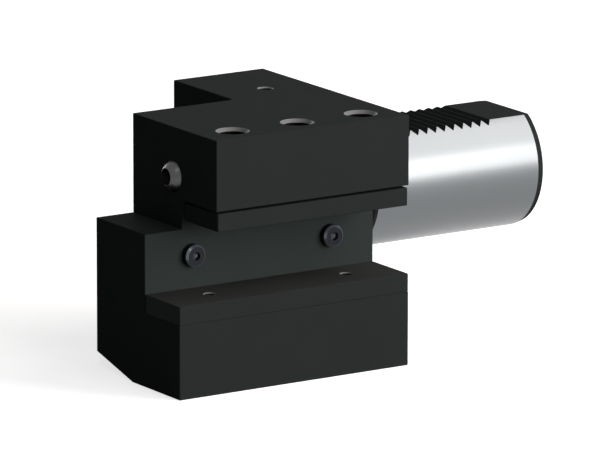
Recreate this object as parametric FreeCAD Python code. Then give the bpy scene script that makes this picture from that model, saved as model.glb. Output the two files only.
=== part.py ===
import FreeCAD, Part
import math
import os

# Axial turning-tool holder with a toothed cylindrical shank of 50 mm, in millimetres.
# The origin is where the shank's axis meets the flange's contact face. +X runs along the shank, away
# from the block, +Y to the back, away from the tool slot, and +Z up, square to the toothed flat.

V = FreeCAD.Vector
X_AXIS = V(1, 0, 0)
Y_AXIS = V(0, 1, 0)
Z_AXIS = V(0, 0, 1)

# Shank
SHANK_DIAMETER = 50.0
SHANK_LENGTH = 78.0
FLAT_HEIGHT = 20.0
FLAT_START = 16.0
TOOTH_PITCH = 4.0
TOOTH_DEPTH = 1.7
TOOTH_ROOT_WIDTH = 0.3
TOOTH_FLANK_ANGLE = 45.0
TOOTH_GROOVES = 11
LAST_GROOVE_FROM_END = 20.0
END_CHAMFER_LENGTH = 2.5
END_CHAMFER_DEPTH = 0.6
CENTRE_CONE_DIAMETER = 10.6
CENTRE_PILOT_DIAMETER = 5.0
CENTRE_PILOT_DEPTH = 9.0

# Seal at the shank's root
SEAL_CORD = 3.0
SEAL_GROOVE_WIDTH = 3.6
SEAL_GROOVE_DEPTH = 2.2

# Block: flange, overhanging base and arm
FLANGE_WIDTH = 100.0
FLANGE_THICKNESS = 40.0
FLANGE_CORNER = 33.0
ARM_ABOVE_AXIS = 35.0
BASE_BELOW_AXIS = 60.0
BASE_LENGTH = 100.0
BASE_BEYOND_ARM = 16.0
BLOCK_DEPTH = 58.0
STEP_BELOW_AXIS = 2.5
RELIEF_WIDTH = 25.0
RELIEF_RISE = 6.6
NOTCH_RADIUS = 2.0
EDGE_BREAK = 0.2

# Tool slot, seat plate and clamping strip
TOOL_SIZE = 25.0
SLOT_DEPTH = 24.0
SEAT_THICKNESS = 7.0
SEAT_END_GAP = 0.1
SEAT_WALL_GAP = 0.4
STRIP_THICKNESS = 6.7
STRIP_OPEN_GAP = 0.9
STRIP_TOP_GAP = 0.9
STRIP_END_GAP = 0.6
STRIP_WALL_GAP = 1.4

# Clamping screws and the snap rings that hang the strip on them
CLAMP_SCREW_DIAMETER = 12.0
CLAMP_SCREW_LENGTH = 25.0
CLAMP_SCREW_NAMES = ("left", "middle", "right")
CLAMP_SCREW_FROM_FLANGE = 13.5
CLAMP_SCREW_FROM_END = 14.5
CLAMP_SCREW_FROM_FRONT = 12.0
CLAMP_SOCKET_WIDTH = 6.0
CLAMP_SOCKET_DEPTH = 7.0
CLAMP_MOUTH_CHAMFER = 0.3
NECK_DIAMETER = 8.4
NECK_SHOULDER_GAP = 0.4
POCKET_DEPTH = 4.2
RING_BELOW_STRIP_TOP = 2.0
RING_WIRE = 1.2
RING_DIAMETER = 8.4
RING_OPENING_ANGLE = 50.0

# Pins that locate the seat plate
SEAT_PIN_NAMES = ("left", "right")
SEAT_PIN_DIAMETER = 4.0
SEAT_PIN_LENGTH = 12.0
SEAT_PIN_BORE = 2.4
SEAT_PIN_SLIT = 0.7
SEAT_PIN_RECESS = 1.2
SEAT_PIN_MOUTH_CHAMFER = 0.35
SEAT_PIN_FROM_FLANGE = 19.7
SEAT_PIN_FROM_END = 20.5
SEAT_PIN_FROM_FRONT = 12.2

# Cap screws in the slot's back wall
STOP_SCREW_NAMES = ("left", "right")
STOP_THREAD_DIAMETER = 5.0
STOP_THREAD_LENGTH = 12.0
STOP_HEAD_DIAMETER = 8.5
STOP_HEAD_HEIGHT = 3.5
STOP_HEAD_CHAMFER = 0.8
STOP_SOCKET_WIDTH = 3.0
STOP_SOCKET_DEPTH = 1.8
STOP_SCREW_FROM_FLANGE = 19.3
STOP_SCREW_FROM_END = 20.3
STOP_SCREW_ABOVE_SEAT = 12.5

# Swivelling coolant ball
BALL_DIAMETER = 12.0
BALL_SETBACK = 2.0
BALL_FROM_FRONT = 30.0
BALL_ABOVE_AXIS = 16.5
BALL_MOUTH_DIAMETER = 6.4
BALL_MOUTH_DEPTH = 4.6
BALL_BORE_DIAMETER = 3.2
BALL_THROAT_LENGTH = 1.0
BALL_INLET_DIAMETER = 5.4
BALL_INLET_DEPTH = 2.7
BALL_RING_WIRE = 0.8
BALL_RING_FORWARD = 1.0
BALL_SEAL_CORD = 1.5
BALL_SEAL_GAP = 0.1

# Coolant ducts and their plugs
INLET_DIAMETER = 5.0
INLET_BEHIND_AXIS = 18.7
INLET_ABOVE_AXIS = 26.0
DUCT_DIAMETER = 5.0
RISER_DIAMETER = 4.2
RISER_FROM_FLANGE = 19.0
DRILL_RUN_OUT = 2.0
SWIVEL_CHAMBER_DIAMETER = 7.0
SWIVEL_CHAMBER_DEPTH = 2.3
TOP_PLUG_DIAMETER = 5.0
TOP_PLUG_LENGTH = 5.0
TOP_PLUG_SOCKET = 2.5
BACK_PLUG_DIAMETER = 8.0
BACK_PLUG_LENGTH = 8.0
BACK_PLUG_SOCKET = 4.0
PLUG_RECESS = 1.0
PLUG_MOUTH_CHAMFER = 0.5
PLUG_SOCKET_SHARE = 0.45

# Shared clearances
THREAD_CLEARANCE = 0.05
PIN_CLEARANCE = 0.02
RUNNING_CLEARANCE = 0.05
SCREW_END_CHAMFER = 0.8
SMALL_CHAMFER = 0.3
HOLE_RUN_OUT = 2.0
CUT_MARGIN = 1.0

# Places worked out from the sizes above
SHANK_RADIUS = SHANK_DIAMETER / 2
ARM_LENGTH = BASE_LENGTH - BASE_BEYOND_ARM
FRONT_Y = -FLANGE_WIDTH / 2
BACK_Y = FLANGE_WIDTH / 2
BLOCK_BACK_Y = FRONT_Y + BLOCK_DEPTH
WALL_Y = FRONT_Y + SLOT_DEPTH
SEAT_Z = -TOOL_SIZE
SLOT_FLOOR_Z = SEAT_Z - SEAT_THICKNESS
STRIP_BOTTOM_Z = SEAT_Z + TOOL_SIZE + STRIP_OPEN_GAP
STRIP_TOP_Z = STRIP_BOTTOM_Z + STRIP_THICKNESS
SLOT_ROOF_Z = STRIP_TOP_Z + STRIP_TOP_GAP
CLAMP_SCREW_Y = FRONT_Y + CLAMP_SCREW_FROM_FRONT
SEAT_PIN_Y = FRONT_Y + SEAT_PIN_FROM_FRONT
STOP_SCREW_Z = SEAT_Z + STOP_SCREW_ABOVE_SEAT
BALL_CENTRE = V(-ARM_LENGTH + BALL_SETBACK, FRONT_Y + BALL_FROM_FRONT, BALL_ABOVE_AXIS)
RISER_X = -RISER_FROM_FLANGE


def box_between(low, high):
    """A box from its lowest corner to its highest corner."""
    size = high - low
    return Part.makeBox(size.x, size.y, size.z, low)


def cylinder(diameter, start, direction, length):
    """A round bar that starts at a point and runs along a direction."""
    return Part.makeCylinder(diameter / 2, length, start, direction)


def cone(start_diameter, end_diameter, start, direction, length):
    """A tapered bar that starts at a point and runs along a direction."""
    return Part.makeCone(start_diameter / 2, end_diameter / 2, length, start, direction)


def fuse_all(solids):
    """One solid from several that touch or overlap."""
    return solids[0].multiFuse(solids[1:]).removeSplitter()


def prism(points, direction):
    """A straight-sided solid: an outline of points, carried along a direction."""
    return Part.Face(Part.makePolygon(points + [points[0]])).extrude(direction)


def chamfered_bar(diameter, start, direction, length, chamfer):
    """A round bar with both ends chamfered at 45 degrees."""
    small = diameter - 2 * chamfer
    return fuse_all([
        cone(small, diameter, start, direction, chamfer),
        cylinder(diameter, start + direction * chamfer, direction, length - 2 * chamfer),
        cone(diameter, small, start + direction * (length - chamfer), direction, chamfer),
    ])


def hex_socket(width, mouth, inward, depth):
    """The hollow of a hexagon socket with a drilled point, to be cut from a screw."""
    corner_radius = width / math.sqrt(3)
    side = Y_AXIS if abs(inward.y) < 0.5 else Z_AXIS
    across = inward.cross(side)
    corners = []
    for i in range(6):
        angle = math.radians(60 * i)
        corner = side * math.cos(angle) + across * math.sin(angle)
        corners.append(mouth + corner * corner_radius)
    drill_point = cone(width, 0, mouth + inward * depth, inward, width / 3)
    return fuse_all([prism(corners, inward * depth), drill_point])


def wire_ring(diameter, wire, centre, axis, opening_angle=0.0):
    """A round wire bent to a ring about an axis, open over an angle or closed."""
    if opening_angle == 0:
        return Part.makeTorus(diameter / 2, wire / 2, centre, axis)
    start = V(diameter / 2, 0, 0)
    section = Part.Face(Part.Wire(Part.makeCircle(wire / 2, start, Y_AXIS)))
    ring = section.revolve(V(0, 0, 0), Z_AXIS, 360 - opening_angle)
    ring.rotate(V(0, 0, 0), Z_AXIS, opening_angle / 2)
    ring.Placement = FreeCAD.Placement(centre, FreeCAD.Rotation(Z_AXIS, axis)).multiply(ring.Placement)
    return ring


def convex_edges(solid):
    """The straight edges of a flat-sided solid that stand out, without those in its inner corners."""
    reach = 0.05
    chosen = []
    for edge in solid.Edges:
        faces = solid.ancestorsOfType(edge, Part.Face)
        if len(faces) != 2 or not isinstance(edge.Curve, Part.Line):
            continue
        middle = edge.valueAt((edge.FirstParameter + edge.LastParameter) / 2)
        normals = [face.normalAt(*face.Surface.parameter(middle)) for face in faces]
        probe = middle + (normals[0] - normals[1]) * reach
        if (normals[0] - normals[1]).Length > reach and not solid.isInside(probe, reach / 100, False):
            chosen.append(edge)
    return chosen


def plan_prism(length, bottom, top):
    """The block's L-shaped plan, with the milled radius in its notch, between two heights."""
    corner = V(-FLANGE_THICKNESS, BLOCK_BACK_Y, 0)
    before = corner + V(0, NOTCH_RADIUS, 0)
    after = corner - V(NOTCH_RADIUS, 0, 0)
    arc_middle = corner + V(-1, 1, 0) * (NOTCH_RADIUS * (1 - math.sqrt(0.5)))
    straight = [
        V(-length, BLOCK_BACK_Y, 0),
        V(-length, FRONT_Y, 0),
        V(0, FRONT_Y, 0),
        V(0, BACK_Y, 0),
        V(-FLANGE_THICKNESS, BACK_Y, 0),
        before,
    ]
    edges = [Part.LineSegment(a, b).toShape() for a, b in zip(straight, straight[1:])]
    edges.append(Part.Arc(before, arc_middle, after).toShape())
    edges.append(Part.LineSegment(after, straight[0]).toShape())
    outline = Part.Face(Part.Wire(edges))
    outline.translate(V(0, 0, bottom))
    return outline.extrude(V(0, 0, top - bottom))


def overhang_relief():
    """The wedge milled off the base's lower back edge, over the length that overhangs the flange."""
    slope = RELIEF_RISE / RELIEF_WIDTH
    reach = RELIEF_WIDTH + NOTCH_RADIUS + CUT_MARGIN
    start = V(-BASE_LENGTH - CUT_MARGIN, BLOCK_BACK_Y - RELIEF_WIDTH, -BASE_BELOW_AXIS)
    points = [
        start,
        start + V(0, reach, reach * slope),
        start + V(0, reach, -CUT_MARGIN),
        start + V(0, 0, -CUT_MARGIN),
    ]
    return prism(points, V(BASE_LENGTH + CUT_MARGIN - FLANGE_THICKNESS, 0, 0))


def flange_corner():
    """The 45 degree corner cut off the flange's lower back edge."""
    start = V(-FLANGE_THICKNESS - CUT_MARGIN, BACK_Y, -BASE_BELOW_AXIS)
    points = [
        start + V(0, -FLANGE_CORNER, 0),
        start + V(0, 0, FLANGE_CORNER),
        start + V(0, CUT_MARGIN, FLANGE_CORNER),
        start + V(0, CUT_MARGIN, -CUT_MARGIN),
        start + V(0, -FLANGE_CORNER, -CUT_MARGIN),
    ]
    return prism(points, V(FLANGE_THICKNESS + 2 * CUT_MARGIN, 0, 0))


def block():
    """Flange, base and arm in one, with the tool slot open at the front and at both ends."""
    base = plan_prism(BASE_LENGTH, -BASE_BELOW_AXIS, -STEP_BELOW_AXIS)
    arm = plan_prism(ARM_LENGTH, -STEP_BELOW_AXIS, ARM_ABOVE_AXIS)
    slot = box_between(
        V(-BASE_LENGTH - CUT_MARGIN, FRONT_Y - CUT_MARGIN, SLOT_FLOOR_Z),
        V(CUT_MARGIN, WALL_Y, SLOT_ROOF_Z),
    )
    solid = fuse_all([base, arm]).cut(overhang_relief()).cut(flange_corner()).cut(slot)
    return solid.makeChamfer(EDGE_BREAK, convex_edges(solid))


def tooth_grooves():
    """The row of V grooves across the shank's flat, with narrow flat roots."""
    half_mouth = TOOTH_ROOT_WIDTH / 2 + TOOTH_DEPTH / math.tan(math.radians(TOOTH_FLANK_ANGLE))
    root_z = FLAT_HEIGHT - TOOTH_DEPTH
    first_x = SHANK_LENGTH - LAST_GROOVE_FROM_END - TOOTH_PITCH * (TOOTH_GROOVES - 1)
    grooves = []
    for i in range(TOOTH_GROOVES):
        x = first_x + TOOTH_PITCH * i
        points = [
            V(x - half_mouth, -SHANK_RADIUS, FLAT_HEIGHT),
            V(x - TOOTH_ROOT_WIDTH / 2, -SHANK_RADIUS, root_z),
            V(x + TOOTH_ROOT_WIDTH / 2, -SHANK_RADIUS, root_z),
            V(x + half_mouth, -SHANK_RADIUS, FLAT_HEIGHT),
        ]
        grooves.append(prism(points, V(0, SHANK_DIAMETER, 0)))
    return grooves


def shank():
    """The ground shank: seal groove at its root, lead-in chamfer, flat, teeth and centre hole."""
    groove_radius = SHANK_RADIUS - SEAL_GROOVE_DEPTH
    centre_cone_depth = (CENTRE_CONE_DIAMETER - CENTRE_PILOT_DIAMETER) / 2 / math.tan(math.radians(30))
    profile = [
        V(-FLANGE_THICKNESS / 2, 0, 0),
        V(-FLANGE_THICKNESS / 2, 0, groove_radius),
        V(SEAL_GROOVE_WIDTH, 0, groove_radius),
        V(SEAL_GROOVE_WIDTH, 0, SHANK_RADIUS),
        V(SHANK_LENGTH - END_CHAMFER_LENGTH, 0, SHANK_RADIUS),
        V(SHANK_LENGTH, 0, SHANK_RADIUS - END_CHAMFER_DEPTH),
        V(SHANK_LENGTH, 0, CENTRE_CONE_DIAMETER / 2),
        V(SHANK_LENGTH - centre_cone_depth, 0, CENTRE_PILOT_DIAMETER / 2),
        V(SHANK_LENGTH - CENTRE_PILOT_DEPTH, 0, CENTRE_PILOT_DIAMETER / 2),
        V(SHANK_LENGTH - CENTRE_PILOT_DEPTH, 0, 0),
    ]
    turned = Part.Face(Part.makePolygon(profile + [profile[0]])).revolve(V(0, 0, 0), X_AXIS, 360)
    flat = box_between(
        V(FLAT_START, -SHANK_RADIUS - CUT_MARGIN, FLAT_HEIGHT),
        V(SHANK_LENGTH + CUT_MARGIN, SHANK_RADIUS + CUT_MARGIN, SHANK_RADIUS + CUT_MARGIN),
    )
    return turned.cut([flat] + tooth_grooves())


def clamp_screw_places():
    """The name and the X of each clamping screw, from the arm's free end to the flange."""
    first_x = -ARM_LENGTH + CLAMP_SCREW_FROM_END
    pitch = (-CLAMP_SCREW_FROM_FLANGE - first_x) / (len(CLAMP_SCREW_NAMES) - 1)
    return [(name, first_x + pitch * i) for i, name in enumerate(CLAMP_SCREW_NAMES)]


def seat_pin_places():
    """The name and the X of each seat pin."""
    places = (-BASE_LENGTH + SEAT_PIN_FROM_END, -SEAT_PIN_FROM_FLANGE)
    return list(zip(SEAT_PIN_NAMES, places))


def stop_screw_places():
    """The name and the X of each cap screw in the slot's back wall."""
    places = (-BASE_LENGTH + STOP_SCREW_FROM_END, -STOP_SCREW_FROM_FLANGE)
    return list(zip(STOP_SCREW_NAMES, places))


def clamp_screw_holes():
    """The arm's threaded holes for the clamping screws, with chamfered mouths."""
    diameter = CLAMP_SCREW_DIAMETER + 2 * THREAD_CLEARANCE
    holes = []
    for name, x in clamp_screw_places():
        start = V(x, CLAMP_SCREW_Y, SLOT_ROOF_Z - CUT_MARGIN)
        holes.append(cylinder(diameter, start, Z_AXIS, ARM_ABOVE_AXIS - SLOT_ROOF_Z + 2 * CUT_MARGIN))
        mouth = V(x, CLAMP_SCREW_Y, ARM_ABOVE_AXIS - CLAMP_MOUTH_CHAMFER)
        holes.append(cone(diameter, diameter + 2 * CLAMP_MOUTH_CHAMFER, mouth, Z_AXIS, CLAMP_MOUTH_CHAMFER))
    return holes


def seat_pin_holes():
    """The base's blind holes for the seat pins."""
    depth = SEAT_PIN_LENGTH + SEAT_PIN_RECESS - SEAT_THICKNESS + HOLE_RUN_OUT
    holes = []
    for name, x in seat_pin_places():
        top = V(x, SEAT_PIN_Y, SLOT_FLOOR_Z)
        holes.append(cylinder(SEAT_PIN_DIAMETER + 2 * PIN_CLEARANCE, top, -Z_AXIS, depth))
    return holes


def stop_screw_holes():
    """The threaded blind holes in the slot's back wall."""
    holes = []
    for name, x in stop_screw_places():
        start = V(x, WALL_Y, STOP_SCREW_Z)
        diameter = STOP_THREAD_DIAMETER + 2 * THREAD_CLEARANCE
        holes.append(cylinder(diameter, start, Y_AXIS, STOP_THREAD_LENGTH + HOLE_RUN_OUT))
    return holes


def ball_seal_place():
    """How far behind the ball's centre its seal lies, and the seal ring's diameter."""
    ring_radius = (BALL_DIAMETER + 2 * RUNNING_CLEARANCE - BALL_SEAL_CORD) / 2 - RUNNING_CLEARANCE
    reach = (BALL_DIAMETER + BALL_SEAL_CORD) / 2 + BALL_SEAL_GAP
    return math.sqrt(reach ** 2 - ring_radius ** 2), 2 * ring_radius


def ball_ring_place():
    """The wire ring's diameter where it bears on the front of the ball."""
    reach = (BALL_DIAMETER + BALL_RING_WIRE) / 2 + RUNNING_CLEARANCE
    return 2 * math.sqrt(reach ** 2 - BALL_RING_FORWARD ** 2)


def ball_socket():
    """The stepped hole for the ball: pocket, groove for its wire ring, and swivel chamber behind it."""
    seal_back, seal_diameter = ball_seal_place()
    pocket_length = BALL_SETBACK + seal_back + BALL_SEAL_CORD / 2 + RUNNING_CLEARANCE
    pocket_diameter = BALL_DIAMETER + 2 * RUNNING_CLEARANCE
    mouth = V(-ARM_LENGTH, BALL_CENTRE.y, BALL_CENTRE.z)
    pocket = cylinder(pocket_diameter, mouth - X_AXIS * CUT_MARGIN, X_AXIS, pocket_length + CUT_MARGIN)
    groove_width = BALL_RING_WIRE + 2 * RUNNING_CLEARANCE
    groove_start = BALL_CENTRE - X_AXIS * (BALL_RING_FORWARD + groove_width / 2)
    groove_diameter = ball_ring_place() + BALL_RING_WIRE + 2 * RUNNING_CLEARANCE
    groove = cylinder(groove_diameter, groove_start, X_AXIS, groove_width)
    chamber = cylinder(SWIVEL_CHAMBER_DIAMETER, mouth + X_AXIS * pocket_length, X_AXIS, SWIVEL_CHAMBER_DEPTH)
    return [pocket, groove, chamber]


def plug_hole(diameter, length, mouth, inward):
    """The threaded hole of a plug, with a chamfered mouth."""
    wall = diameter + 2 * THREAD_CLEARANCE
    chamfer_floor = mouth + inward * PLUG_MOUTH_CHAMFER
    chamfer = cone(wall, wall + 2 * PLUG_MOUTH_CHAMFER, chamfer_floor, -inward, PLUG_MOUTH_CHAMFER)
    return [cylinder(wall, mouth, inward, length), chamfer]


def coolant_ducts():
    """The drilled way of the coolant: in at the flange, up to the riser, across, and along to the ball."""
    inlet_end = RISER_FROM_FLANGE + RISER_DIAMETER / 2
    inlet_start = V(-inlet_end, INLET_BEHIND_AXIS, INLET_ABOVE_AXIS)
    inlet = cylinder(INLET_DIAMETER, inlet_start, X_AXIS, inlet_end + CUT_MARGIN)
    riser_top = V(RISER_X, INLET_BEHIND_AXIS, ARM_ABOVE_AXIS)
    riser = cylinder(RISER_DIAMETER, riser_top, -Z_AXIS, ARM_ABOVE_AXIS - BALL_ABOVE_AXIS)
    riser_thread_length = PLUG_RECESS + TOP_PLUG_LENGTH + SMALL_CHAMFER
    riser_thread = plug_hole(TOP_PLUG_DIAMETER, riser_thread_length, riser_top, -Z_AXIS)
    cross_mouth = V(RISER_X, BACK_Y, BALL_ABOVE_AXIS)
    cross_length = BACK_Y - BALL_CENTRE.y + DRILL_RUN_OUT
    cross = cylinder(DUCT_DIAMETER, cross_mouth, -Y_AXIS, cross_length)
    cross_thread_length = PLUG_RECESS + BACK_PLUG_LENGTH + HOLE_RUN_OUT
    cross_thread = plug_hole(BACK_PLUG_DIAMETER, cross_thread_length, cross_mouth, -Y_AXIS)
    feed_length = -RISER_FROM_FLANGE + DRILL_RUN_OUT - BALL_CENTRE.x
    feed = cylinder(DUCT_DIAMETER, BALL_CENTRE, X_AXIS, feed_length)
    return [inlet, riser, cross, feed] + riser_thread + cross_thread


def holder_body():
    """The one-piece steel body: block and shank, with every hole in it."""
    holes = clamp_screw_holes() + seat_pin_holes() + stop_screw_holes() + ball_socket() + coolant_ducts()
    groove = cylinder(SHANK_DIAMETER + SEAL_CORD, V(0, 0, 0), X_AXIS, SEAL_GROOVE_WIDTH)
    return fuse_all([block(), shank()]).cut(holes)


def clamping_strip():
    """The loose bar that bears on the tool, with a blind pocket and ring groove for each screw."""
    strip = box_between(
        V(-ARM_LENGTH + STRIP_END_GAP, FRONT_Y, STRIP_BOTTOM_Z),
        V(-STRIP_END_GAP, WALL_Y - STRIP_WALL_GAP, STRIP_TOP_Z),
    )
    strip = strip.makeChamfer(EDGE_BREAK, strip.Edges)
    groove_height = RING_WIRE + 2 * RUNNING_CLEARANCE
    groove_diameter = RING_DIAMETER + groove_height
    for name, x in clamp_screw_places():
        top = V(x, CLAMP_SCREW_Y, STRIP_TOP_Z)
        pocket = cylinder(NECK_DIAMETER + 2 * RUNNING_CLEARANCE, top, -Z_AXIS, POCKET_DEPTH)
        groove_top = top - Z_AXIS * (RING_BELOW_STRIP_TOP - groove_height / 2)
        groove = cylinder(groove_diameter, groove_top, -Z_AXIS, groove_height)
        strip = strip.cut([pocket, groove])
    return strip


def clamping_screw(x):
    """A clamping screw: threaded body, hexagon socket, and a grooved neck that ends in the strip."""
    tip = V(x, CLAMP_SCREW_Y, STRIP_TOP_Z - POCKET_DEPTH + RUNNING_CLEARANCE)
    neck_length = POCKET_DEPTH - RUNNING_CLEARANCE + NECK_SHOULDER_GAP
    neck = chamfered_bar(NECK_DIAMETER, tip, Z_AXIS, neck_length + SMALL_CHAMFER, SMALL_CHAMFER)
    shoulder = tip + Z_AXIS * neck_length
    thread = chamfered_bar(
        CLAMP_SCREW_DIAMETER, shoulder, Z_AXIS, CLAMP_SCREW_LENGTH - neck_length, SCREW_END_CHAMFER)
    groove_height = RING_WIRE + 2 * RUNNING_CLEARANCE
    groove_bottom = V(x, CLAMP_SCREW_Y, STRIP_TOP_Z - RING_BELOW_STRIP_TOP - groove_height / 2)
    groove_floor = RING_DIAMETER - RING_WIRE - 2 * RUNNING_CLEARANCE
    groove = cylinder(NECK_DIAMETER + CUT_MARGIN, groove_bottom, Z_AXIS, groove_height)
    groove = groove.cut(cylinder(groove_floor, groove_bottom, Z_AXIS, groove_height))
    socket = hex_socket(CLAMP_SOCKET_WIDTH, tip + Z_AXIS * CLAMP_SCREW_LENGTH, -Z_AXIS, CLAMP_SOCKET_DEPTH)
    return fuse_all([neck, thread]).cut([groove, socket])


def strip_snap_ring(x):
    """The open wire ring that ties a screw's neck to the strip."""
    centre = V(x, CLAMP_SCREW_Y, STRIP_TOP_Z - RING_BELOW_STRIP_TOP)
    return wire_ring(RING_DIAMETER, RING_WIRE, centre, Z_AXIS, RING_OPENING_ANGLE)


def seat_plate():
    """The flat plate that the tool lies on, with a hole for each pin."""
    plate = box_between(
        V(-BASE_LENGTH + SEAT_END_GAP, FRONT_Y, SLOT_FLOOR_Z),
        V(-SEAT_END_GAP, WALL_Y - SEAT_WALL_GAP, SEAT_Z),
    )
    plate = plate.makeChamfer(EDGE_BREAK, plate.Edges)
    diameter = SEAT_PIN_DIAMETER + 2 * PIN_CLEARANCE
    mouth = diameter + 2 * SEAT_PIN_MOUTH_CHAMFER
    holes = []
    for name, x in seat_pin_places():
        holes.append(cylinder(diameter, V(x, SEAT_PIN_Y, SLOT_FLOOR_Z), Z_AXIS, SEAT_THICKNESS))
        chamfer_floor = V(x, SEAT_PIN_Y, SEAT_Z - SEAT_PIN_MOUTH_CHAMFER)
        holes.append(cone(diameter, mouth, chamfer_floor, Z_AXIS, SEAT_PIN_MOUTH_CHAMFER))
    return plate.cut(holes)


def seat_plate_pin(x):
    """A slit spring pin from the base up into the seat plate, just under the seat."""
    top = V(x, SEAT_PIN_Y, SEAT_Z - SEAT_PIN_RECESS)
    pin = chamfered_bar(SEAT_PIN_DIAMETER, top, -Z_AXIS, SEAT_PIN_LENGTH, SMALL_CHAMFER)
    bore = cylinder(SEAT_PIN_BORE, top, -Z_AXIS, SEAT_PIN_LENGTH)
    slit = box_between(
        top - V(SEAT_PIN_SLIT / 2, 0, SEAT_PIN_LENGTH),
        top + V(SEAT_PIN_SLIT / 2, SEAT_PIN_DIAMETER, 0),
    )
    return pin.cut([bore, slit])


def side_stop_screw(x):
    """A low cap screw whose head the tool's side bears on."""
    seat = V(x, WALL_Y, STOP_SCREW_Z)
    small = STOP_HEAD_DIAMETER - 2 * STOP_HEAD_CHAMFER
    straight = STOP_HEAD_HEIGHT - STOP_HEAD_CHAMFER
    head = cylinder(STOP_HEAD_DIAMETER, seat, -Y_AXIS, straight)
    crown = cone(STOP_HEAD_DIAMETER, small, seat - Y_AXIS * straight, -Y_AXIS, STOP_HEAD_CHAMFER)
    thread = chamfered_bar(
        STOP_THREAD_DIAMETER, seat - Y_AXIS * SMALL_CHAMFER, Y_AXIS, STOP_THREAD_LENGTH, SMALL_CHAMFER)
    socket = hex_socket(STOP_SOCKET_WIDTH, seat - Y_AXIS * STOP_HEAD_HEIGHT, Y_AXIS, STOP_SOCKET_DEPTH)
    return fuse_all([head, crown, thread]).cut(socket)


def shank_seal_ring():
    """The rubber ring in the groove at the shank's root, standing a little proud of the shank."""
    floor_radius = SHANK_RADIUS - SEAL_GROOVE_DEPTH
    diameter = 2 * floor_radius + SEAL_CORD + 2 * RUNNING_CLEARANCE
    return wire_ring(diameter, SEAL_CORD, V(SEAL_GROOVE_WIDTH / 2, 0, 0), X_AXIS)


def nozzle_ball():
    """The swivelling ball: wide mouth to the front, narrow bore, and a tapered inlet at its back."""
    radius = BALL_DIAMETER / 2
    bore_radius = BALL_BORE_DIAMETER / 2
    mouth_edge = V(-math.sqrt(radius ** 2 - (BALL_MOUTH_DIAMETER / 2) ** 2), 0, BALL_MOUTH_DIAMETER / 2)
    inlet_edge = V(math.sqrt(radius ** 2 - (BALL_INLET_DIAMETER / 2) ** 2), 0, BALL_INLET_DIAMETER / 2)
    mouth_floor = mouth_edge + X_AXIS * BALL_MOUTH_DEPTH
    hollow = [
        inlet_edge,
        V(inlet_edge.x - BALL_INLET_DEPTH, 0, bore_radius),
        V(mouth_floor.x + BALL_THROAT_LENGTH, 0, bore_radius),
        mouth_floor,
        mouth_edge,
    ]
    edges = [Part.LineSegment(a, b).toShape() for a, b in zip(hollow, hollow[1:])]
    edges.append(Part.Arc(mouth_edge, V(0, 0, radius), inlet_edge).toShape())
    ball = Part.Face(Part.Wire(edges)).revolve(V(0, 0, 0), X_AXIS, 360)
    ball.translate(BALL_CENTRE)
    return ball


def nozzle_seal():
    """The rubber ring that the ball's back bears on."""
    seal_back, diameter = ball_seal_place()
    return wire_ring(diameter, BALL_SEAL_CORD, BALL_CENTRE + X_AXIS * seal_back, X_AXIS)


def nozzle_retaining_ring():
    """The open wire ring in the socket's groove that keeps the ball in."""
    centre = BALL_CENTRE - X_AXIS * BALL_RING_FORWARD
    return wire_ring(ball_ring_place(), BALL_RING_WIRE, centre, X_AXIS, RING_OPENING_ANGLE)


def plug(diameter, length, socket_width, mouth, inward):
    """A plug screw, set below the face by the shared recess."""
    head = mouth + inward * PLUG_RECESS
    body = chamfered_bar(diameter, head, inward, length, SMALL_CHAMFER)
    return body.cut(hex_socket(socket_width, head, inward, length * PLUG_SOCKET_SHARE))


def coolant_plug_top():
    """The plug that closes the riser on the arm's top face."""
    mouth = V(RISER_X, INLET_BEHIND_AXIS, ARM_ABOVE_AXIS)
    return plug(TOP_PLUG_DIAMETER, TOP_PLUG_LENGTH, TOP_PLUG_SOCKET, mouth, -Z_AXIS)


def coolant_plug_back():
    """The plug that closes the cross duct on the flange's back face."""
    mouth = V(RISER_X, BACK_Y, BALL_ABOVE_AXIS)
    return plug(BACK_PLUG_DIAMETER, BACK_PLUG_LENGTH, BACK_PLUG_SOCKET, mouth, -Y_AXIS)


def all_parts():
    """Every sub-part by its name."""
    parts = {
        "holder_body": holder_body(),
        "clamping_strip": clamping_strip(),
        "seat_plate": seat_plate(),
        "shank_seal_ring": shank_seal_ring(),
        "nozzle_ball": nozzle_ball(),
        "nozzle_seal": nozzle_seal(),
        "nozzle_retaining_ring": nozzle_retaining_ring(),
        "coolant_plug_top": coolant_plug_top(),
        "coolant_plug_back": coolant_plug_back(),
    }
    for name, x in clamp_screw_places():
        parts["clamping_screw_" + name] = clamping_screw(x)
        parts["strip_snap_ring_" + name] = strip_snap_ring(x)
    for name, x in seat_pin_places():
        parts["seat_plate_pin_" + name] = seat_plate_pin(x)
    for name, x in stop_screw_places():
        parts["side_stop_screw_" + name] = side_stop_screw(x)
    return parts


os.makedirs("parts", exist_ok=True)
for part_name, shape in all_parts().items():
    shape.exportStep("parts/" + part_name + ".step")
    print(part_name, len(shape.Solids), shape.isValid(), round(shape.Volume, 1))
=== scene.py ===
import logging
import math
from dataclasses import dataclass, field
from enum import Enum

import bpy
import numpy as np
from mathutils import Matrix, Vector


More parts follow.
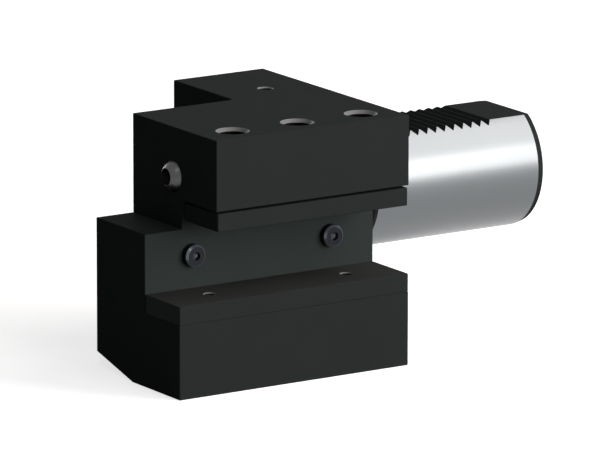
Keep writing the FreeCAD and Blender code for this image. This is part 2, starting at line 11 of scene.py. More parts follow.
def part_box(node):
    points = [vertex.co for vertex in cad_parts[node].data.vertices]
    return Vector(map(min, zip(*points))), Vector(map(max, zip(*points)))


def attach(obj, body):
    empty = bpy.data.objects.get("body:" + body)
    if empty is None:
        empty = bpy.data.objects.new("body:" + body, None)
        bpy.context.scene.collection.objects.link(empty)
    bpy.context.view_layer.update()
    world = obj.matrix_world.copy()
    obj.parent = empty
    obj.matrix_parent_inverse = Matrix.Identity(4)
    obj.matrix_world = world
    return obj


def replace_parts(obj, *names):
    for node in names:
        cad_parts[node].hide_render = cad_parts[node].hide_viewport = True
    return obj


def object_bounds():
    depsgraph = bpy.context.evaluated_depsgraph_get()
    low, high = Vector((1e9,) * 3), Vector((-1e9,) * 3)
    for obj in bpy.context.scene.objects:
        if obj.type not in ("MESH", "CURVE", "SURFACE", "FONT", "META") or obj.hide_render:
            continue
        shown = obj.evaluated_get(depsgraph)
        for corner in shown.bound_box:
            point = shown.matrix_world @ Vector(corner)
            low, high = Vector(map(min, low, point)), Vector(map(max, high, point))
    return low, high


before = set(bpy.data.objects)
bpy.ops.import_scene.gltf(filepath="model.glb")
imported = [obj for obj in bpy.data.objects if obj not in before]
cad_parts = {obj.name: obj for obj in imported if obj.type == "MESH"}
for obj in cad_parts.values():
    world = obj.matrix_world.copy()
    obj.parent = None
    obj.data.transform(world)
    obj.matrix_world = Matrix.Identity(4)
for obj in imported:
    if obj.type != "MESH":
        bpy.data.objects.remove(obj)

LOG = logging.getLogger("tool_holder")
Triple = tuple[float, float, float]
START_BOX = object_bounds()

# One millimetre in metres: the sizes below are in millimetres, apart from the studio's and the camera's.
MM = 0.001

# How far the floor lies below the block's underside, in metres, so that the two never share a plane.
FLOOR_GAP = 0.00005

# Edges of the turned pieces that bend more than this many degrees stay sharp.
SHARP_ANGLE = 32.0

# The M12 thread: its pitch, and the shares of its wave's height that the flank and the flat crest take.
THREAD_PITCH = 1.75
THREAD_FLANK = 0.66
THREAD_CREST = 0.125

# The grid of a turned piece: points round it, and rings for each turn of the thread.
RING_POINTS = 72
RINGS_PER_TURN = 12

# Parts of a face's normal along a direction: a flat face has more than FLAT, a bevel STEEP to LEVEL.
FLAT = 0.99
LEVEL = 0.95
STEEP = 0.3

# The three clamping screws, from the block's free end towards the shank.
SIDES = ("left", "middle", "right")

# The tint of the two strips that light the shank.
WARM: Triple = (1.0, 0.955, 0.920)


class Grain(Enum):
    """How the fine marks on a finish run: the scale of the noise along X, Y and Z, per millimetre."""

    EVEN = (1.6, 1.6, 1.6)
    MILLED_ALONG_X = (0.12, 3.2, 3.2)
    GROUND_ROUND_X = (9.0, 0.25, 0.25)
    TURNED_ROUND_Z = (0.25, 0.25, 6.0)
    MOULDED = (5.0, 5.0, 5.0)


@dataclass(frozen=True)
class Finish:
    """One surface finish, built as a procedural material on Object coordinates.

    Attributes:
        name: The material's name.
        colour: Linear base colour.
        roughness: Mean roughness of the surface.
        metallic: 1 for bare metal and 0 for a coated or soft surface.
        specular: The shader's specular level.
        grain: How the fine marks run.
        mottle: How far the colour wanders from its mean, as a share of it.
        rough_swing: How far the roughness wanders from its mean.
        relief: Height of the fine marks in the bump, in millimetres.
        mark_detail: Octaves in the noise of the fine marks.
        mottle_detail: Octaves in the noise of the mottle.
        mottle_scale: Cells of the mottle's noise per millimetre.
    """

    name: str
    colour: Triple
    roughness: float
    metallic: float = 0.0
    specular: float = 0.5
    grain: Grain = Grain.EVEN
    mottle: float = 0.08
    rough_swing: float = 0.06
    relief: float = 0.004
    mark_detail: float = 3.0
    mottle_detail: float = 2.0
    mottle_scale: float = 0.05

    def material(self) -> bpy.types.Material:
        """Builds the material, or returns it if it is there already.

        Returns:
            A material with a Principled shader, fine directional marks and a broad mottle.
        """
        known = bpy.data.materials.get(self.name)
        if known is not None:
            return known
        made = bpy.data.materials.new(self.name)
        made.use_nodes = True
        tree = made.node_tree
        shader = tree.nodes["Principled BSDF"]
        shader.inputs["Metallic"].default_value = self.metallic
        shader.inputs["Specular IOR Level"].default_value = self.specular
        where = tree.nodes.new("ShaderNodeTexCoord").outputs["Object"]
        marks = self._noise(tree, where, self.grain.value, self.mark_detail)
        broad = self._noise(tree, where, (self.mottle_scale,) * 3, self.mottle_detail)
        self._link_range(tree, marks, shader.inputs["Roughness"],
                         self.roughness - self.rough_swing, self.roughness + self.rough_swing)
        mix = tree.nodes.new("ShaderNodeMix")
        mix.data_type = "RGBA"
        mix.inputs["A"].default_value = (*[c * (1 - self.mottle) for c in self.colour], 1)
        mix.inputs["B"].default_value = (*[c * (1 + self.mottle) for c in self.colour], 1)
        tree.links.new(broad, mix.inputs["Factor"])
        tree.links.new(mix.outputs["Result"], shader.inputs["Base Color"])
        bump = tree.nodes.new("ShaderNodeBump")
        bump.inputs["Strength"].default_value = 1.0
        bump.inputs["Distance"].default_value = self.relief * MM
        tree.links.new(marks, bump.inputs["Height"])
        tree.links.new(bump.outputs["Normal"], shader.inputs["Normal"])
        return made

    @staticmethod
    def _noise(tree: bpy.types.NodeTree, where: bpy.types.NodeSocket, per_mm: Triple,
               detail: float) -> bpy.types.NodeSocket:
        """Adds a noise with its own scale along each axis.

        Args:
            tree: The material's node tree.
            where: The coordinates, in metres.
            per_mm: Noise cells per millimetre along X, Y and Z.
            detail: How many octaves the noise has.

        Returns:
            The socket with the noise's value, from 0 to 1.
        """
        stretch = tree.nodes.new("ShaderNodeMapping")
        stretch.inputs["Scale"].default_value = [s / MM for s in per_mm]
        noise = tree.nodes.new("ShaderNodeTexNoise")
        noise.inputs["Scale"].default_value = 1.0
        noise.inputs["Detail"].default_value = detail
        tree.links.new(where, stretch.inputs["Vector"])
        tree.links.new(stretch.outputs["Vector"], noise.inputs["Vector"])
        return noise.outputs["Fac"]

    @staticmethod
    def _link_range(tree: bpy.types.NodeTree, value: bpy.types.NodeSocket, target: bpy.types.NodeSocket,
                    low: float, high: float) -> None:
        """Feeds a value from 0 to 1 into a socket as a value from low to high.

        Args:
            tree: The material's node tree.
            value: The socket with the value.
            target: The socket that takes the result.
            low: The result for 0.
            high: The result for 1.
        """
        span = tree.nodes.new("ShaderNodeMapRange")
        span.inputs["To Min"].default_value = low
        span.inputs["To Max"].default_value = high
        tree.links.new(value, span.inputs["Value"])
        tree.links.new(span.outputs["Result"], target)


BLACKENED = Finish("Blackened milled steel", (0.0226, 0.0261, 0.0255), 0.62, specular=0.004,
                   grain=Grain.MILLED_ALONG_X)
# The slot's back wall: blackened steel painted lighter. This is painted light standing in for the light that its
# shade under the head and the strip keeps off.
BLACKENED_WALL_PAINTED_LIGHT = Finish("Blackened wall with painted light", (0.032, 0.038, 0.036), 0.60, specular=0.003)
# The seat's top faces: blackened steel painted lighter. This is painted light standing in for the light that the
# slot's shade keeps off.
BLACKENED_SEAT_PAINTED_LIGHT = Finish("Blackened seat top with painted light", (0.039, 0.040, 0.039), 0.56, specular=0.003)
BLACKENED_HARD = Finish("Blackened hardened steel", (0.0227, 0.0256, 0.0250), 0.56, specular=0.010,
                        grain=Grain.MILLED_ALONG_X, mottle=0.06)
GROUND = Finish("Ground steel", (0.146, 0.155, 0.162), 0.30, metallic=1.0, grain=Grain.GROUND_ROUND_X,
                mottle=0.015, rough_swing=0.04, relief=0.0004)
CUT_STEEL = Finish("Bare cut steel", (0.19, 0.19, 0.19), 0.50, metallic=0.05, specular=0.1,
                   grain=Grain.TURNED_ROUND_Z, mottle=0.05, relief=0.002)
SCREW_BLACK = Finish("Blackened screw steel", (0.009, 0.011, 0.016), 0.30, specular=0.12, mottle=0.10,
                     relief=0.002)
# The cap screws' chamfer ring: lighter and part metallic, a painted highlight.
SCREW_EDGE_HIGHLIGHT = Finish("Screw edge with painted highlight", (0.095, 0.105, 0.125), 0.30, metallic=0.3, mottle=0.10,
                    relief=0.002)
SATIN = Finish("Satin stainless steel", (0.072, 0.072, 0.072), 0.36, metallic=1.0, specular=0.3,
               grain=Grain.GROUND_ROUND_X, mottle=0.04, relief=0.001)
SPRING = Finish("Drawn spring steel", (0.30, 0.30, 0.31), 0.34, metallic=1.0, mottle=0.05, relief=0.001)
RUBBER = Finish("Black nitrile rubber", (0.008, 0.008, 0.008), 0.62, specular=0.06, grain=Grain.MOULDED,
                mottle=0.10, relief=0.003)


def dress(node: str, finish: Finish) -> bpy.types.Object:
    """Gives a CAD node one finish all over.

    Args:
        node: The node's name.
        finish: The finish it gets.

    Returns:
        The node's object.
    """
    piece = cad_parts[node]
    piece.data.materials.clear()
    piece.data.materials.append(finish.material())
    LOG.info("%s: %s", node, finish.name)
    return piece


def face_centres(mesh: bpy.types.Mesh) -> tuple[np.ndarray, np.ndarray]:
    """Reads where a mesh's faces are and which way they look.

    Args:
        mesh: The mesh.

    Returns:
        The faces' centres in millimetres and their normals, one row for each face.
    """
    centres = np.empty(len(mesh.polygons) * 3)
    normals = np.empty(len(mesh.polygons) * 3)
    mesh.polygons.foreach_get("center", centres)
    mesh.polygons.foreach_get("normal", normals)
    return centres.reshape(-1, 3) / MM, normals.reshape(-1, 3)


def node_box(node: str) -> tuple[Vector, Vector]:
    """Returns a CAD node's lowest and highest corner, in millimetres."""
    low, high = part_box(node)
    return low / MM, high / MM


def new_piece(name: str, points: np.ndarray, faces: list[list[int]], finish: Finish, body: str) -> bpy.types.Object:
    """Makes a mesh piece from whole arrays and lets it ride on a body.

    Args:
        name: The piece's name.
        points: Its points in millimetres, one row each.
        faces: Its faces as lists of point indices.
        finish: Its finish.
        body: The CAD body it moves with.

    Returns:
        The piece's object, at the origin and unturned.
    """
    mesh = bpy.data.meshes.new(name)
    mesh.from_pydata((points * MM).tolist(), [], faces)
    mesh.polygons.foreach_set("use_smooth", np.ones(len(mesh.polygons), bool))
    mesh.set_sharp_from_angle(angle=math.radians(SHARP_ANGLE))
    mesh.materials.append(finish.material())
    piece = bpy.data.objects.new(name, mesh)
    bpy.context.scene.collection.objects.link(piece)
    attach(piece, body)
    LOG.info("%s: %d faces, %s", name, len(mesh.polygons), finish.name)
    return piece


def countersink(centres: np.ndarray, normals: np.ndarray, node: str, reach: float) -> np.ndarray:
    """Picks the faces of an upright hole's countersink.

    Args:
        centres: The faces' centres in millimetres.
        normals: The faces' normals.
        node: The CAD node that sits in the hole.
        reach: How far from the hole's axis the countersink goes, in millimetres.

    Returns:
        One truth value for each face.
    """
    low, high = node_box(node)
    across = np.hypot(centres[:, 0] - (low.x + high.x) / 2, centres[:, 1] - (low.y + high.y) / 2)
    return (across < reach) & (normals[:, 2] > STEEP) & (normals[:, 2] < LEVEL)


def turned_points(rows: list[np.ndarray], angle: np.ndarray) -> np.ndarray:
    """Turns rows of radii and heights into points round the Z axis.

    Args:
        rows: For each ring its radii and its heights, as two rows of numbers.
        angle: The angle of each point of a ring.

    Returns:
        The points, ring after ring: (radius cos angle, radius sin angle, height).
    """
    grid = np.stack(rows)
    radii, heights = grid[:, 0], grid[:, 1]
    return np.stack([radii * np.cos(angle), radii * np.sin(angle), heights], -1).reshape(-1, 3)


def thread_wave(heights: np.ndarray, angle: np.ndarray, pitch: float) -> np.ndarray:
    """Returns the triangle wave |2 f - 1|, where f is the fraction of (z / pitch - a / full turn)."""
    turn = (heights[:, None] / pitch - angle[None, :] / math.tau) % 1.0
    return np.abs(2.0 * turn - 1.0)


def wrapped_grid(rows: int, columns: int) -> list[list[int]]:
    """Joins rows of points, each a closed ring, with a pole before the first and after the last.

    Args:
        rows: How many rings there are.
        columns: How many points a ring has.

    Returns:
        The faces as lists of indices, the triangles at the poles last. The first pole is the point after
        the rings, and the second pole the point after that.
    """
    ring = np.arange(columns)
    after = (ring + 1) % columns
    row = np.arange(rows - 1)[:, None] * columns
    above = row + columns
    walls = np.stack([row + ring, row + after, above + after, above + ring], -1).reshape(-1, 4)
    first = rows * columns
    last_row = (rows - 1) * columns
    bottom = np.stack([np.full(columns, first), after, ring], -1)
    top = np.stack([np.full(columns, first + 1), last_row + ring, last_row + after], -1)
    return walls.tolist() + bottom.tolist() + top.tolist()


def closed_rings(rows: int, columns: int) -> list[list[int]]:
    """Joins rows of points, each a closed ring, and the last row to the first.

    The rows go up a pipe's inner wall and down its outer one, so that the faces point out of its wall.

    Args:
        rows: How many rings there are.
        columns: How many points a ring has.

    Returns:
        The faces as lists of four indices.
    """
    ring = np.arange(columns)
    after = (ring + 1) % columns
    row = np.arange(rows)[:, None] * columns
    above = (np.arange(rows)[:, None] + 1) % rows * columns
    return np.stack([row + ring, above + ring, above + after, row + after], -1).reshape(-1, 4).tolist()


@dataclass
class ClampingScrew:
    """A grub screw with a cut thread, a hexagon socket and a grooved neck.

    Attributes:
        side: Which of the three screws it is.
        pitch: The thread's pitch.
        thread_depth: The thread's depth.
        neck_radius: Radius of the neck that goes into the strip.
        neck_length: Length of the neck.
        groove_radius: Radius at the floor of the ring's groove.
        groove_low: Where the groove starts above the tip.
        groove_width: The groove's width.
        tip_chamfer: The chamfer on the neck's end.
        end_chamfer: The chamfer at both ends of the thread.
        socket_width: The hexagon's width across its flats.
        socket_depth: The hexagon's depth.
        mouth_share: Radius of the socket's mouth as a share of its width.
        mouth_depth: Depth of the mouth's cone.
        drill_point: Depth of the drill's cone below the socket's floor.
        columns: Points round the screw, a multiple of six.
        rings_per_turn: Rings for each turn of the thread.
    """

    side: str
    pitch: float = THREAD_PITCH
    thread_depth: float = 1.02
    neck_radius: float = 4.2
    neck_length: float = 4.55
    groove_radius: float = 3.55
    groove_low: float = 1.5
    groove_width: float = 1.3
    tip_chamfer: float = 0.3
    end_chamfer: float = 0.8
    socket_width: float = 6.0
    socket_depth: float = 7.0
    mouth_share: float = 0.59
    mouth_depth: float = 0.25
    drill_point: float = 2.0
    columns: int = RING_POINTS
    rings_per_turn: int = RINGS_PER_TURN

    def build(self) -> bpy.types.Object:
        """Makes the screw in the place of its plain CAD node.

        Returns:
            The screw's object.
        """
        node = "clamping_screw_" + self.side
        low, high = node_box(node)
        axis = ((low + high) / 2).xy
        points, faces = self._surface(low.z, high.z, (high.x - low.x) / 2)
        points[:, 0] += axis.x
        points[:, 1] += axis.y
        piece = new_piece("threaded_screw_" + self.side, points, faces, SCREW_BLACK, node)
        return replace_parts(piece, node)

    def _surface(self, tip: float, top: float, radius: float) -> tuple[np.ndarray, list[list[int]]]:
        """Carries the screw's outline round its axis, from the tip, over the thread, into the socket.

        The radius at a height z and an angle a is the outline's own radius, less the thread's depth times a
        clipped triangle wave of (z / pitch - a / full turn), which makes one continuous right-hand groove. At
        both ends of the thread a 45 degree bevel limits it. In the socket the radius is half the width over
        cos(a to the nearest flat's middle), which is a hexagon.

        Args:
            tip: Height of the neck's end.
            top: Height of the screw's top face.
            radius: The thread's outer radius.

        Returns:
            The points and the faces.
        """
        angle = np.arange(self.columns) * math.tau / self.columns
        ring = np.ones(self.columns)
        shoulder = tip + self.neck_length
        groove_top = self.groove_low + self.groove_width
        neck = [
            (self.neck_radius - self.tip_chamfer, tip),
            (self.neck_radius, tip + self.tip_chamfer),
            (self.neck_radius, tip + self.groove_low),
            (self.groove_radius, tip + self.groove_low),
            (self.groove_radius, tip + groove_top),
            (self.neck_radius, tip + groove_top),
            (self.neck_radius, shoulder),
        ]
        rows = [np.stack([r * ring, z * ring]) for r, z in neck]
        count = int((top - shoulder) / self.pitch * self.rings_per_turn)
        heights = np.linspace(shoulder, top, count)
        bevel = np.minimum(np.minimum(heights - shoulder, top - heights), self.end_chamfer)
        limit = radius - self.end_chamfer + bevel
        wave = thread_wave(heights, angle, self.pitch)
        cut = np.clip((wave - THREAD_CREST) / THREAD_FLANK, 0.0, 1.0) * self.thread_depth
        radii = np.minimum(radius - cut, limit[:, None])
        rows += [np.stack([radii[i], heights[i] * ring]) for i in range(count)]
        sixth = math.tau / 6
        flat = (self.socket_width / 2) / np.cos((angle % sixth) - sixth / 2)
        floor = top - self.socket_depth
        rows.append(np.stack([(self.socket_width * self.mouth_share) * ring, top * ring]))
        rows.append(np.stack([flat, (top - self.mouth_depth) * ring]))
        rows.append(np.stack([flat, floor * ring]))
        rows.append(np.stack([(self.socket_width / 2) * ring, floor * ring]))
        poles = np.array([[0.0, 0.0, tip], [0.0, 0.0, floor - self.drill_point]])
        return np.concatenate([turned_points(rows, angle), poles]), wrapped_grid(len(rows), self.columns)


@dataclass
class TappedMouth:
    """The countersunk mouth and the first turns of the thread of an upright tapped hole.

    Attributes:
        screw: The CAD node of the screw in the hole.
        top: Height of the face that the hole opens in.
        pitch: The thread's pitch.
        reach: How far the thread stays above the screw when that stands highest.
        clearance: How far the hole's wall is from the screw's thread.
        countersink: How far the countersink is wider than the hole, in radius.
        depth_share: The thread's depth as a share of its pitch.
        wall: How far the ring's back lies outside the hole's wall.
        rim: How far the ring's back stays below the face.
        lip: How far the countersink's foot stands in from the thread's core.
        columns: Points round the hole.
        rings_per_turn: Rings for each turn of the thread.
    """

    screw: str
    top: float
    pitch: float = THREAD_PITCH
    reach: float = 1.05
    clearance: float = 0.05
    countersink: float = 0.23
    depth_share: float = 0.54
    wall: float = 0.15
    rim: float = 0.25
    lip: float = 0.02
    columns: int = RING_POINTS
    rings_per_turn: int = RINGS_PER_TURN

    def build(self) -> bpy.types.Object:
        """Makes the mouth as a ring that lines the hole above its screw.

        The wall's radius at a height z and an angle a is the core radius plus the thread's depth times a
        clipped triangle wave of (z / pitch - a / full turn). Above it a cone of about 45 degrees opens to the
        face.

        Returns:
            The ring's object.
        """
        low, high = node_box(self.screw)
        radius = (high.x - low.x) / 2
        depth = self.depth_share * self.pitch
        core = radius - depth
        wide = radius + self.clearance + self.countersink
        angle = np.arange(self.columns) * math.tau / self.columns
        ring = np.ones(self.columns)
        bottom = high.z + self.reach
        foot = self.top - (wide - core)
        count = int((foot - bottom) / self.pitch * self.rings_per_turn)
        heights = np.linspace(bottom, foot, count)
        wave = thread_wave(heights, angle, self.pitch)
        cut = np.clip((1.0 - THREAD_CREST - wave) / THREAD_FLANK, 0.0, 1.0) * depth
        outer = radius + self.clearance + self.wall
        rows = [np.stack([core + cut[i], heights[i] * ring]) for i in range(count)]
        rows += [np.stack([r * ring, z * ring]) for r, z in (
            (core - self.lip, foot), (wide, self.top), (outer, self.top - self.rim), (outer, bottom))]
        points = turned_points(rows, angle)
        points[:, 0] += (low.x + high.x) / 2
        points[:, 1] += (low.y + high.y) / 2
        faces = closed_rings(len(rows), self.columns)
        name = "tapped_mouth_of_" + self.screw
        piece = new_piece(name, points, faces, BLACKENED, "holder")
        piece.data.materials.append(CUT_STEEL.material())
        shine = np.zeros(len(faces), np.int32)
        cone = count * self.columns
        shine[cone:cone + self.columns] = 1
        piece.data.polygons.foreach_set("material_index", shine)
        return piece


@dataclass
class HolderBody:
    """The one-piece body: blackened block, ground shank and flange face, tapped holes.

    Attributes:
        shank_radius: The ground shank's radius.
        shank_start: Where the ground part starts, behind the seal's groove.
        lead_in: Length of the blackened lead-in chamfer at the shank's end.
        plug_mouth_reach: How far from the riser's axis its hole's countersink goes.
        margin: How far a face may lie from the place where it is looked for.
        above_strip: How far the slot's back wall goes on above the strip.
    """

    shank_radius: float = 25.0
    shank_start: float = 3.6
    lead_in: float = 2.5
    plug_mouth_reach: float = 3.2
    margin: float = 0.2
    above_strip: float = 1.0

    def dress(self) -> bpy.types.Object:
        """Gives each face of the body its finish, and the slot's back wall painted light: a lighter colour against
        its shade.

        Returns:
            The body's object.
        """
        piece = dress("holder_body", BLACKENED)
        mesh = piece.data
        for finish in (GROUND, BLACKENED_WALL_PAINTED_LIGHT, CUT_STEEL):
            mesh.materials.append(finish.material())
        centres, normals = face_centres(mesh)
        zones = np.zeros(len(centres), np.int32)
        zones[self._on_shank(centres, normals)] = 1
        zones[(np.abs(centres[:, 0]) < self.margin) & (normals[:, 0] > FLAT)] = 1
        # Zone 2 is painted light: the slot's back wall gets a lighter colour against its shade.
        zones[self._slot_wall_for_painted_light(centres, normals)] = 2
        zones[countersink(centres, normals, "coolant_plug_top", self.plug_mouth_reach)] = 3
        mesh.polygons.foreach_set("material_index", zones)
        mesh.update()
        for side in SIDES:
            TappedMouth("clamping_screw_" + side, node_box("holder_body")[1].z).build()
        return piece

    def _on_shank(self, centres: np.ndarray, normals: np.ndarray) -> np.ndarray:
        """Picks the ground round part of the shank.

        Args:
            centres: The faces' centres in millimetres.
            normals: The faces' normals.

        Returns:
            One truth value for each face, true where it lies on the round part and looks away from the axis.
        """
        along = centres[:, 0]
        across = np.hypot(centres[:, 1], centres[:, 2])
        outward = (normals[:, 1:] * centres[:, 1:]).sum(1) / np.maximum(across, self.margin)
        end = node_box("holder_body")[1].x - self.lead_in
        return (across > self.shank_radius - self.margin) & (along > self.shank_start) & (along < end) & (
            outward > FLAT)

    def _slot_wall_for_painted_light(self, centres: np.ndarray, normals: np.ndarray) -> np.ndarray:
        """Picks the slot's back wall, from the seat's foot to above the strip, which gets painted light.

        Args:
            centres: The faces' centres in millimetres.
            normals: The faces' normals.

        Returns:
            One truth value for each face.
        """
        foot, back = node_box("seat_plate")
        roof = node_box("clamping_strip")[1].z + self.above_strip
        along, across, height = centres.T
        there = (along < 0.0) & (across > back.y - self.margin) & (across < 0.0)
        return there & (height > foot.z) & (height < roof) & (normals[:, 1] < -FLAT)


@dataclass
class ClampingStrip:
    """The loose strip with its three screws and the rings that tie them together.

    Attributes:
        sides: The names of the three screws.
    """

    sides: tuple[str, ...] = SIDES

    def build(self) -> None:
        """Dresses the strip and its rings and makes the screws."""
        dress("clamping_strip", BLACKENED)
        for side in self.sides:
            dress("strip_snap_ring_" + side, SPRING)
            ClampingScrew(side).build()


@dataclass
class ToolSlot:
    """The hardened seat with its pins, and the cap screws in the slot's back wall.

    Attributes:
        sides: The names of the two ends.
        pin_mouth_reach: How far from a pin's axis its hole's countersink goes.
    """

    sides: tuple[str, ...] = ("left", "right")
    pin_mouth_reach: float = 3.0

    def dress(self) -> None:
        """Gives the seat, its pins and the cap screws their finishes, with painted light on the seat's top and a
        painted highlight on the screws' chamfers.
        """
        plate = dress("seat_plate", BLACKENED_HARD)
        plate.data.materials.append(CUT_STEEL.material())
        plate.data.materials.append(BLACKENED_SEAT_PAINTED_LIGHT.material())
        centres, normals = face_centres(plate.data)
        # The seat's top faces, zone 2, get painted light: a lighter colour against the slot's shade.
        zones = np.where(normals[:, 2] > FLAT, 2, 0).astype(np.int32)
        for side in self.sides:
            zones[countersink(centres, normals, "seat_plate_pin_" + side, self.pin_mouth_reach)] = 1
        plate.data.polygons.foreach_set("material_index", zones)
        for side in self.sides:
            dress("seat_plate_pin_" + side, SPRING)
            screw = dress("side_stop_screw_" + side, SCREW_BLACK)
            screw.data.materials.append(SCREW_EDGE_HIGHLIGHT.material())
            # The chamfer faces that look forward get the painted highlight.
            forward = -face_centres(screw.data)[1][:, 1]
            edge = (forward > STEEP) & (forward < LEVEL)
            screw.data.polygons.foreach_set("material_index", edge.astype(np.int32))


@dataclass
class Coolant:
    """The swivelling ball with its ring and seal, and the plugs of the ducts.

    Attributes:
        plugs: The CAD nodes of the plugs.
    """

    plugs: tuple[str, ...] = ("coolant_plug_top", "coolant_plug_back")

    def dress(self) -> None:
        """Gives the ball, its rings and the plugs their finishes."""
        dress("nozzle_ball", SATIN)
        dress("nozzle_retaining_ring", SPRING)
        dress("nozzle_seal", RUBBER)
        for plug in self.plugs:
            dress(plug, SCREW_BLACK)


@dataclass
class Softbox:
    """A rectangular lamp that looks at the block.

    Attributes:
        name: The lamp's name.
        place: Where it stands, in metres.
        width: The length of its short side, in metres.
        height: The length of its long side, in metres.
        watts: Its power.
        along: Which way its long side runs.
        tint: The colour of its light.
    """

    name: str
    place: Triple
    width: float
    height: float
    watts: float
    along: Triple = (0.0, 0.0, 1.0)
    tint: Triple = (1.0, 1.0, 1.0)

    def build(self) -> None:
        """Adds the lamp to the scene."""
        lamp = bpy.data.lights.new(self.name, "AREA")
        lamp.shape = "RECTANGLE"
        lamp.size = self.width
        lamp.size_y = self.height
        lamp.energy = self.watts
        lamp.color = self.tint
        back = Vector(self.place).normalized()
        side = Vector(self.along).cross(back).normalized()
        turn = Matrix((side, back.cross(side), back)).transposed().to_4x4()
        holder = bpy.data.objects.new(self.name, lamp)
        holder.matrix_world = Matrix.Translation(Vector(self.place)) @ turn
        bpy.context.scene.collection.objects.link(holder)


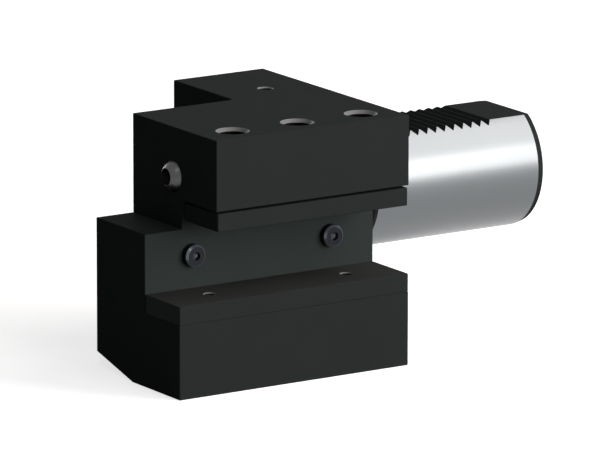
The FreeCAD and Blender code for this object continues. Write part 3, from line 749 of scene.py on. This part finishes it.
@dataclass
class Studio:
    """The pale floor, the world and the lamps.

    Attributes:
        floor_half: Half the floor's side, in metres.
        floor_shown: The floor's colour as the eye and mirrors see it.
        floor_glow: What the floor adds for the eye and mirrors alone, so that it reads as white.
        floor_bounce: The floor's colour for the light that it throws back.
        world_shown: The world's level as the eye and mirrors see it.
        world_fill: The world's level as a light.
        lamps: The softboxes.
    """

    floor_half: float = 6.0
    floor_shown: float = 0.92
    floor_glow: float = 0.70
    floor_bounce: float = 0.14
    world_shown: float = 1.0
    world_fill: float = 0.035
    lamps: list[Softbox] = field(default_factory=lambda: [
        Softbox("Key strip", (0.85, -0.62, 1.02), 0.55, 1.45, 13.0, (0.0, 0.857, 0.514), WARM),
        Softbox("Low strip", (0.85, -1.40, 0.42), 0.55, 0.78, 12.0, tint=WARM),
        Softbox("Front softbox", (0.20, -1.60, 0.20), 0.6, 0.6, 14.0),
        Softbox("Back softbox", (0.10, 1.50, 0.20), 0.6, 0.6, 5.0),
        Softbox("Small softbox, upper left", (-0.65, -0.80, 1.10), 0.25, 0.25, 1.6),
    ])

    def build(self, ground: float) -> None:
        """Builds floor, world and lamps.

        Args:
            ground: The floor's height, in metres.
        """
        half = self.floor_half
        mesh = bpy.data.meshes.new("Floor")
        mesh.from_pydata([(-half, -half, ground), (half, -half, ground), (half, half, ground),
                          (-half, half, ground)], [], [(0, 1, 2, 3)])
        mesh.materials.append(self._floor_material())
        floor = bpy.data.objects.new("Floor", mesh)
        bpy.context.scene.collection.objects.link(floor)
        self._world()
        for lamp in self.lamps:
            lamp.build()

    @staticmethod
    def _seen(tree: bpy.types.NodeTree) -> bpy.types.NodeSocket:
        """Adds a value that is 1 for what the eye, a mirror or glass sees, and 0 for light thrown back."""
        path = tree.nodes.new("ShaderNodeLightPath")
        total = path.outputs["Is Camera Ray"]
        for name in ("Is Glossy Ray", "Is Transmission Ray"):
            larger = tree.nodes.new("ShaderNodeMath")
            larger.operation = "MAXIMUM"
            tree.links.new(total, larger.inputs[0])
            tree.links.new(path.outputs[name], larger.inputs[1])
            total = larger.outputs[0]
        return total

    def _floor_material(self) -> bpy.types.Material:
        """Builds the floor's matt material.

        Returns:
            A matt material, pale to the eye and darker for the light that it throws back.
        """
        made = bpy.data.materials.new("Pale floor")
        made.use_nodes = True
        tree = made.node_tree
        tree.nodes.clear()
        matt = tree.nodes.new("ShaderNodeBsdfDiffuse")
        out = tree.nodes.new("ShaderNodeOutputMaterial")
        glow = tree.nodes.new("ShaderNodeEmission")
        both = tree.nodes.new("ShaderNodeAddShader")
        mix = tree.nodes.new("ShaderNodeMix")
        mix.data_type = "RGBA"
        mix.inputs["A"].default_value = (self.floor_bounce,) * 3 + (1,)
        mix.inputs["B"].default_value = (self.floor_shown,) * 3 + (1,)
        dim = tree.nodes.new("ShaderNodeMath")
        dim.operation = "MULTIPLY"
        dim.inputs[1].default_value = self.floor_glow
        seen = self._seen(tree)
        tree.links.new(seen, mix.inputs["Factor"])
        tree.links.new(seen, dim.inputs[0])
        tree.links.new(mix.outputs["Result"], matt.inputs["Color"])
        tree.links.new(dim.outputs[0], glow.inputs["Strength"])
        tree.links.new(matt.outputs["BSDF"], both.inputs[0])
        tree.links.new(glow.outputs["Emission"], both.inputs[1])
        tree.links.new(both.outputs["Shader"], out.inputs["Surface"])
        return made

    def _world(self) -> None:
        """Builds the world: white to the eye and to mirrors, and a weak fill light."""
        world = bpy.data.worlds.new("Studio")
        bpy.context.scene.world = world
        world.use_nodes = True
        tree = world.node_tree
        back = tree.nodes["Background"]
        level = tree.nodes.new("ShaderNodeMapRange")
        level.inputs["To Min"].default_value = self.world_fill
        level.inputs["To Max"].default_value = self.world_shown
        back.inputs["Color"].default_value = (1, 1, 1, 1)
        tree.links.new(self._seen(tree), level.inputs["Value"])
        tree.links.new(level.outputs["Result"], back.inputs["Strength"])


@dataclass
class PhotoCamera:
    """The camera at the photo's viewing angle, fitted to the edges of the block and the shank.

    Attributes:
        azimuth: How far the view turns from +Y towards +X, in degrees.
        elevation: How far the view looks down, in degrees.
        roll: The camera's roll, in degrees.
        right: How far the shank's root lies right of the view's middle, in metres.
        up: How far the shank's root lies above the view's middle, in metres.
        distance: How far the shank's root lies ahead of the camera, in metres.
        lens: The focal length, in millimetres.
        sensor: The sensor's width, in millimetres.
        sight: How far the camera sees, in metres.
    """

    azimuth: float = 32.899
    elevation: float = 13.001
    roll: float = -0.062
    right: float = 0.01307
    up: float = 0.01776
    distance: float = 2.9134
    lens: float = 466.06
    sensor: float = 36.0
    sight: float = 50.0

    def build(self) -> None:
        """Adds the camera and makes it the scene's."""
        a, e, r = (math.radians(v) for v in (self.azimuth, self.elevation, self.roll))
        ahead = Vector((math.sin(a) * math.cos(e), math.cos(a) * math.cos(e), -math.sin(e)))
        level = Vector((math.cos(a), -math.sin(a), 0.0))
        down = ahead.cross(level)
        right = level * math.cos(r) + down * math.sin(r)
        up = level * math.sin(r) - down * math.cos(r)
        place = -right * self.right - up * self.up - ahead * self.distance
        turn = Matrix((right, up, -ahead)).transposed().to_4x4()
        data = bpy.data.cameras.new("Photo camera")
        data.lens = self.lens
        data.sensor_fit = "HORIZONTAL"
        data.sensor_width = self.sensor
        data.clip_end = self.sight
        camera = bpy.data.objects.new("Photo camera", data)
        camera.matrix_world = Matrix.Translation(place) @ turn
        bpy.context.scene.collection.objects.link(camera)
        bpy.context.scene.camera = camera


def main() -> None:
    """Builds the holder's parts in order, then the studio and the camera."""
    logging.basicConfig(level=logging.INFO, format="%(message)s")
    bpy.context.scene.view_settings.view_transform = "Standard"
    HolderBody().dress()
    ClampingStrip().build()
    ToolSlot().dress()
    Coolant().dress()
    dress("shank_seal_ring", RUBBER)
    Studio().build(START_BOX[0][2] - FLOOR_GAP)
    PhotoCamera().build()


if __name__ == "__main__":
    main()
